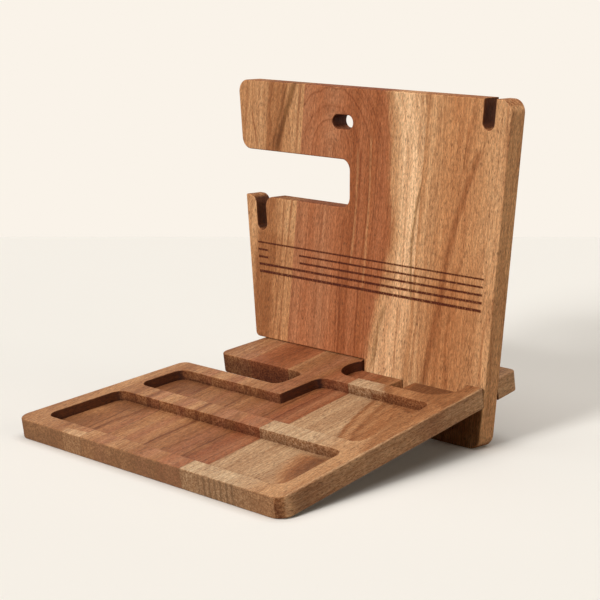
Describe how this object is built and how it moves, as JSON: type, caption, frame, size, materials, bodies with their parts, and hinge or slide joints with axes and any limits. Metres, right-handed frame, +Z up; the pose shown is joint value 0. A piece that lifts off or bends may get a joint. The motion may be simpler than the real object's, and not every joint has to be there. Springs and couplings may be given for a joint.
{
  "type": "wooden desk organiser stand",
  "caption": "Two cross-lapped boards make a desk stand: a sloping tray with pockets and a phone rest, and an upright with an arm and hook slots.",
  "frame": {"origin": "on the table, at the middle of the whole stand's footprint", "axes": "+X to the right as seen from the front, +Y to the rear, +Z up"},
  "size_m": [0.2806, 0.2552, 0.247],
  "materials": {
    "tray_outer_stave": "satin oil",
    "wing_outer_stave": "satin oil",
    "tray_inner_stave": "satin oil",
    "wing_inner_stave": "satin oil",
    "tray_middle_stave": "satin oil",
    "tray_right_stave": "satin oil",
    "rear_right_stave": "satin oil",
    "left_foot_stave": "satin oil",
    "hook_post_stave": "satin oil",
    "arm_stave": "satin oil",
    "upright_middle_stave": "satin oil",
    "upright_right_stave": "satin oil"
  },
  "bodies": {
    "tray": {"tray_outer_stave": "tray_outer_stave", "wing_outer_stave": "wing_outer_stave", "tray_inner_stave": "tray_inner_stave", "wing_inner_stave": "wing_inner_stave", "tray_middle_stave": "tray_middle_stave", "tray_right_stave": "tray_right_stave", "rear_right_stave": "rear_right_stave"},
    "upright": {"left_foot_stave": "left_foot_stave", "hook_post_stave": "hook_post_stave", "arm_stave": "arm_stave", "upright_middle_stave": "upright_middle_stave", "upright_right_stave": "upright_right_stave"}
  },
  "joints": [
    {"name": "upright_slide", "type": "slide", "parent": "tray", "child": "upright", "axis": [1, 0, 0], "range_m": [0, 0.118]}
  ]
}
